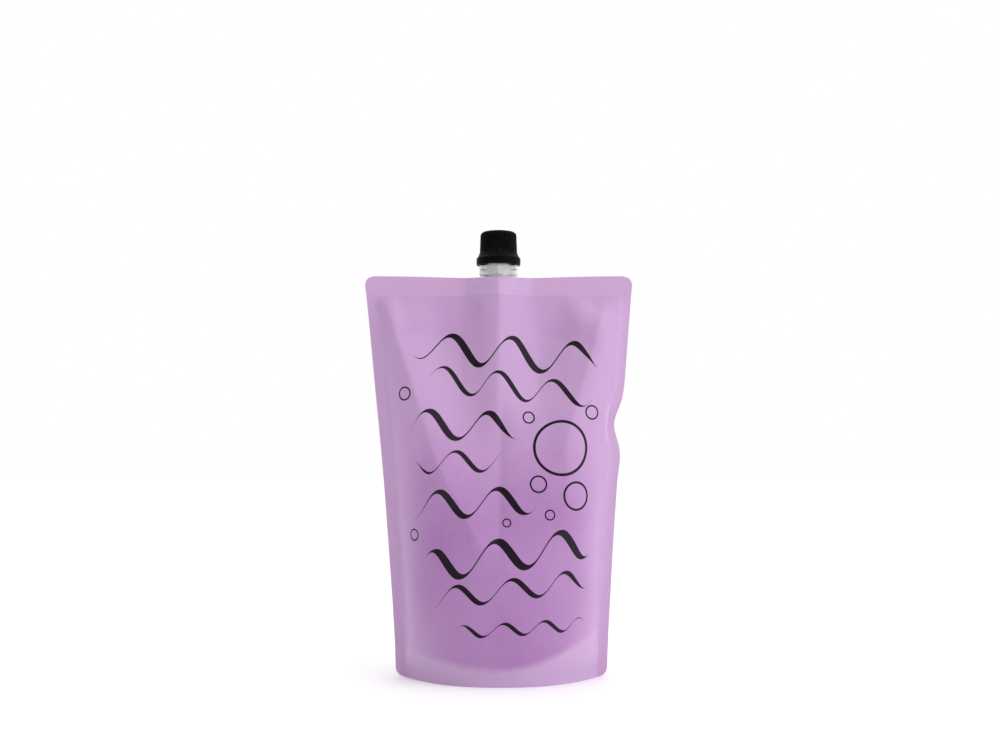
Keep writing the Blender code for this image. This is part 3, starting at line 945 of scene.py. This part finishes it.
# Print: thick and thin ripples and soap bubbles, in centimetres of flat film.
# Ripple: x from, x to, y, slope, swing, wavelength, phase, greatest half-width.
RIPPLES = [
    (-5.8, 6.6, 20.9, -0.08, 0.95, 4.1, 0.3, 0.25),
    (-5.0, 6.2, 18.7, -0.12, 0.80, 3.6, 1.7, 0.17),
    (-6.0, 1.2, 16.0, -0.02, 0.85, 3.8, 2.9, 0.23),
    (-5.6, 0.6, 13.8, 0.03, 0.65, 3.3, 0.6, 0.15),
    (-5.9, 2.4, 11.2, 0.04, 0.80, 3.7, 1.9, 0.22),
    (-5.2, 6.4, 7.9, 0.14, 0.90, 4.0, 2.1, 0.25),
    (-4.6, 6.0, 5.8, 0.12, 0.60, 3.4, 0.4, 0.16),
    (-3.0, 5.8, 3.5, 0.05, 0.35, 2.5, 1.2, 0.12),
]
# Bubble: x, y, radius, half-width of the ring.
BUBBLES = [
    (3.9, 14.6, 1.70, 0.09),
    (4.9, 11.6, 0.85, 0.07),
    (2.4, 12.3, 0.50, 0.055),
    (6.0, 16.9, 0.42, 0.05),
    (1.9, 16.6, 0.36, 0.05),
    (3.1, 10.4, 0.30, 0.045),
    (-5.8, 9.2, 0.34, 0.045),
    (-6.2, 18.1, 0.40, 0.05),
    (0.4, 9.9, 0.24, 0.04),
]
INK_EDGE = 0.008            # over which the ink's edge fades, on each side
TAPER = 1.6                 # of a ripple's ends
THIN_SHARE = 0.15           # an upstroke's width as a share of the downstroke's


def ripple_ink(graph, x, y, ripple):
    """1 on a wavy stroke that is thick where it falls and thin where it climbs."""
    start, end, level, slope, swing, wavelength, phase, half_width = ripple
    turn = 2 * math.pi / wavelength
    angle = graph.math("MULTIPLY_ADD", x, turn, phase)
    path = graph.math("MULTIPLY_ADD", graph.math("SINE", angle), swing, level)
    path = graph.math("MULTIPLY_ADD", x, slope, path)
    tilt = graph.math("MULTIPLY", graph.math("COSINE", angle), swing * turn)
    stretch = graph.math("SQRT", graph.math("MULTIPLY_ADD", tilt, tilt, 1.0))
    away = graph.math("DIVIDE", graph.math("ABSOLUTE", graph.math("SUBTRACT", y, path)), stretch)
    downstroke = graph.ramp(tilt, swing * turn, -swing * turn)
    taper = graph.math("MULTIPLY", graph.ramp(x, start, start + TAPER), graph.ramp(x, end, end - TAPER))
    thin = half_width * THIN_SHARE
    width = graph.math("MULTIPLY_ADD", downstroke, half_width - thin, thin)
    width = graph.math("MULTIPLY", width, taper)
    stroke = graph.ramp(graph.math("SUBTRACT", away, width), INK_EDGE, -INK_EDGE)
    return graph.math("MULTIPLY", stroke, graph.ramp(taper, 0.0, 0.02))


def print_ink(graph, x, y, place):
    """1 where the black print lies: no ripple runs through a bubble."""
    ink = 0.0
    for ripple in RIPPLES:
        ink = graph.math("MAXIMUM", ripple_ink(graph, x, y, ripple), ink)
    rings_ink = 0.0
    for centre_x, centre_y, radius, half_width in BUBBLES:
        away = graph.distance(x, y, centre_x, centre_y)
        edge = graph.math("ABSOLUTE", graph.math("SUBTRACT", away, radius))
        ring = graph.ramp(edge, half_width + INK_EDGE, half_width - INK_EDGE)
        rings_ink = graph.math("MAXIMUM", ring, rings_ink)
        ink = graph.math("MULTIPLY", ink, graph.ramp(away, radius + 0.10, radius + 0.16))
    ink = graph.math("MAXIMUM", ink, rings_ink)
    front = graph.math("LESS_THAN", graph.node("ShaderNodeSeparateXYZ", {0: place}).outputs["Y"], 0.0)
    return graph.math("MULTIPLY", ink, front)


FILM_SLACK = (0.54, 0.338, 0.585, 1)
# painted shade on the film's belly, where it stands out over the soap
FILM_PAINTED_SHADE = (0.395, 0.192, 0.450, 1)
# welded film: partly its own lighter look, partly painted light on the seams and skirt
FILM_WELDED_PAINTED_LIGHT = (0.61, 0.415, 0.655, 1)
FILM_MOTTLE = (0.56, 0.38, 0.64, 1)
INK = (0.010, 0.003, 0.011, 1)
WELD_RIB_PITCH = 0.26       # centimetres of film
WELD_RIB_SHARE = 0.05       # of the relief's full height


def weld_ribs(graph, x, y):
    """The ribs of the spout's base show faintly through the welded film."""
    wave = graph.math("SINE", graph.math("MULTIPLY", y, 2 * math.pi / WELD_RIB_PITCH))
    across = graph.ramp(graph.math("ABSOLUTE", x), 2.4, 2.2)
    upright = graph.math("MULTIPLY", graph.ramp(y, 24.5, 24.7), graph.ramp(y, 25.6, 25.4))
    region = graph.math("MULTIPLY", graph.math("MULTIPLY", across, upright), WELD_RIB_SHARE)
    return graph.math("MULTIPLY", wave, region)


def film_colour(graph, x, y, place, mottle):
    clouds = graph.noise(place, 22.0, 3.0)
    ragged = graph.math("MULTIPLY_ADD", graph.ramp(graph.noise(place, 130.0, 2.0), 0.3, 0.7), 0.5, -0.25)
    # Painted shade: the film is darkened where it stands out over the soap, broken up by soft clouds
    filled = graph.math("MULTIPLY", graph.attribute("filled"), graph.ramp(clouds, 0.25, 0.75, 0.7, 1.0))
    # Welded film gets a lighter colour with a ragged edge: partly the seal's own look, partly painted
    # light
    welded = graph.ramp(graph.math("ADD", graph.attribute("welded"), ragged), 0.1, 0.9, 0.0, 0.62)
    colour = graph.mix(filled, FILM_SLACK, FILM_PAINTED_SHADE)
    colour = graph.mix(welded, colour, FILM_WELDED_PAINTED_LIGHT)
    colour = graph.mix(graph.ramp(mottle, 0.3, 0.75, 0.0, 0.12), colour, FILM_MOTTLE)
    return graph.mix(print_ink(graph, x, y, place), colour, INK)


def film_relief(graph, x, y, place):
    """Soft waves, crumple and grain of the film, and the ribs of the spout's base."""
    waves = graph.math("MULTIPLY", graph.noise(place, 60.0, 2.0), 0.5)
    crumple = graph.math("MULTIPLY", graph.noise(place, 240.0, 3.0), 0.10)
    grain = graph.math("MULTIPLY", graph.noise(place, 1900.0, 2.0), 0.012)
    height = graph.math("ADD", graph.math("ADD", waves, crumple), grain)
    return graph.math("ADD", height, weld_ribs(graph, x, y))


def film_material():
    graph = Graph("matt_film")
    place = graph.node("ShaderNodeTexCoord").outputs["Object"]
    flat = graph.node("ShaderNodeUVMap", uv_map="FlatFilm").outputs[0]
    parts = graph.node("ShaderNodeSeparateXYZ", {0: flat})
    x, y = parts.outputs["X"], parts.outputs["Y"]
    mottle = graph.noise(place, 90.0, 4.0, 0.6)
    colour = film_colour(graph, x, y, place, mottle)
    rough = graph.ramp(mottle, 0.2, 0.8, 0.36, 0.42, "LINEAR")
    graph.bump(film_relief(graph, x, y, place), 1.0 * MM, 0.8)
    return graph.finish(Base_Color=colour, Roughness=rough, Specular_IOR_Level=0.2,
                        Subsurface_Weight=0.12, Subsurface_Scale=0.002)


CAP_DARK = (0.0015, 0.0015, 0.001725, 1)
CAP_WORN = (0.0024, 0.0024, 0.0027, 1)
SPOUT_CLEAR = (0.68, 0.66, 0.70, 1)
SPOUT_CLOUDY = (0.76, 0.74, 0.77, 1)
FOAM_CELL = (0.72, 0.72, 0.71, 1)
FOAM_WALL = (0.86, 0.86, 0.85, 1)


def cap_material(name):
    graph = Graph(name)
    place = graph.node("ShaderNodeTexCoord").outputs["Object"]
    grain = graph.noise(place, 2600.0, 2.0)
    clouds = graph.noise(place, 120.0, 3.0)
    colour = graph.mix(graph.ramp(clouds, 0.3, 0.7), CAP_DARK, CAP_WORN)
    rough = graph.ramp(clouds, 0.2, 0.8, 0.40, 0.50, "LINEAR")
    graph.bump(grain, 0.02 * MM)
    return graph.finish(Base_Color=colour, Roughness=rough, Specular_IOR_Level=0.05)


def spout_material():
    graph = Graph("natural_plastic")
    place = graph.node("ShaderNodeTexCoord").outputs["Object"]
    clouds = graph.noise(place, 140.0, 3.0)
    colour = graph.mix(graph.ramp(clouds, 0.3, 0.7), SPOUT_CLEAR, SPOUT_CLOUDY)
    rough = graph.ramp(clouds, 0.2, 0.8, 0.30, 0.42, "LINEAR")
    graph.bump(graph.noise(place, 900.0, 2.0), 0.03 * MM)
    return graph.finish(Base_Color=colour, Roughness=rough, Specular_IOR_Level=0.3,
                        Subsurface_Weight=0.9, Subsurface_Radius=(1.0, 1.0, 1.0), Subsurface_Scale=0.004)


def liner_material():
    graph = Graph("liner_foam")
    place = graph.node("ShaderNodeTexCoord").outputs["Object"]
    cells = graph.node("ShaderNodeTexVoronoi", {"Vector": place, "Scale": 3000.0}).outputs["Distance"]
    colour = graph.mix(graph.ramp(cells, 0.1, 0.6), FOAM_CELL, FOAM_WALL)
    graph.bump(cells, 0.04 * MM)
    return graph.finish(Base_Color=colour, Roughness=0.75)


def place_piece(piece, material, node, body):
    piece.data.materials.append(material)
    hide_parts(node)
    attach(piece, body)


# ---- studio -------------------------------------------------------------------------------------
# Axis of the direction, where the light starts to rise, where it is full, and how bright it gets.
WORLD_SIDES = [
    ("Y", 0.0, 0.7, 0.95),
    ("Z", 0.3, 0.9, 1.6),
    ("X", 0.25, 0.95, 0.72),
    ("X", -0.5, -1.0, 0.22),
]
WORLD_DIM = 0.10
LENS = 50
SENSOR = 36
CAMERA_PLACE = (0.001, -0.903, 0.137)
CAMERA_TILT = 93.83
KEY_PLACE = (0.95, -0.62, 0.62)
KEY_SIZE = 1.5
KEY_POWER = 5.2


def add_camera():
    camera = bpy.data.cameras.new("camera")
    camera.lens = LENS
    camera.sensor_width = SENSOR
    obj = bpy.data.objects.new("camera", camera)
    obj.location = CAMERA_PLACE
    obj.rotation_euler = (math.radians(CAMERA_TILT), 0, 0)
    bpy.context.scene.collection.objects.link(obj)
    bpy.context.scene.camera = obj


def add_light(name, location, size, power):
    light = bpy.data.lights.new(name, "AREA")
    light.shape = "DISK"
    light.size = size
    light.energy = power
    obj = bpy.data.objects.new(name, light)
    obj.location = location
    aim = Vector((0, 0, HEIGHT / 2)) - Vector(location)
    obj.rotation_euler = aim.to_track_quat("-Z", "Y").to_euler()
    bpy.context.scene.collection.objects.link(obj)


def add_floor():
    mesh = bpy.data.meshes.new("floor")
    bm = bmesh.new()
    bmesh.ops.create_circle(bm, cap_ends=True, segments=96, radius=12.0)
    bm.to_mesh(mesh)
    bm.free()
    obj = bpy.data.objects.new("floor", mesh)
    bpy.context.scene.collection.objects.link(obj)
    graph = Graph("floor")
    mesh.materials.append(graph.finish(Base_Color=(0.96, 0.96, 0.96, 1), Roughness=0.8))


def larger(tree, first, second):
    """The larger of two node outputs."""
    made = tree.nodes.new("ShaderNodeMath")
    made.operation = "MAXIMUM"
    tree.links.new(first, made.inputs[0])
    tree.links.new(second, made.inputs[1])
    return made.outputs[0]


def side_light(tree, direction, side):
    """How bright the room is towards one side."""
    axis, low, high, brightest = side
    ramp = tree.nodes.new("ShaderNodeMapRange")
    ramp.interpolation_type = "SMOOTHSTEP"
    tree.links.new(direction.outputs[axis], ramp.inputs["Value"])
    limits = {"From Min": low, "From Max": high, "To Min": WORLD_DIM, "To Max": brightest}
    for key, value in limits.items():
        ramp.inputs[key].default_value = value
    return ramp.outputs[0]


def add_world():
    """A white room to look at; its light comes from above, behind and the right, little from the front."""
    world = bpy.data.worlds.new("world")
    bpy.context.scene.world = world
    world.use_nodes = True
    tree = world.node_tree
    place = tree.nodes.new("ShaderNodeTexCoord")
    direction = tree.nodes.new("ShaderNodeSeparateXYZ")
    tree.links.new(place.outputs["Generated"], direction.inputs[0])
    strength = side_light(tree, direction, WORLD_SIDES[0])
    for side in WORLD_SIDES[1:]:
        strength = larger(tree, strength, side_light(tree, direction, side))
    seen = tree.nodes.new("ShaderNodeLightPath").outputs["Is Camera Ray"]
    background = tree.nodes["Background"]
    background.inputs["Color"].default_value = (1, 1, 1, 1)
    tree.links.new(larger(tree, seen, strength), background.inputs["Strength"])


def main():
    """Every piece takes one node's place and rides the body that the node belongs to."""
    bpy.context.scene.view_settings.view_transform = "Standard"
    add_camera()
    add_floor()
    add_world()
    add_light("key", KEY_PLACE, KEY_SIZE, KEY_POWER)
    place_piece(build_pouch(), film_material(), "pouch", "pack")
    place_piece(build_spout(), spout_material(), "spout", "pack")
    place_piece(build_band(), cap_material("band_plastic"), "tamper_band", "pack")
    place_piece(build_cap(), cap_material("cap_plastic"), "cap", "cap")
    place_piece(build_liner(), liner_material(), "cap_liner", "seal")


main()
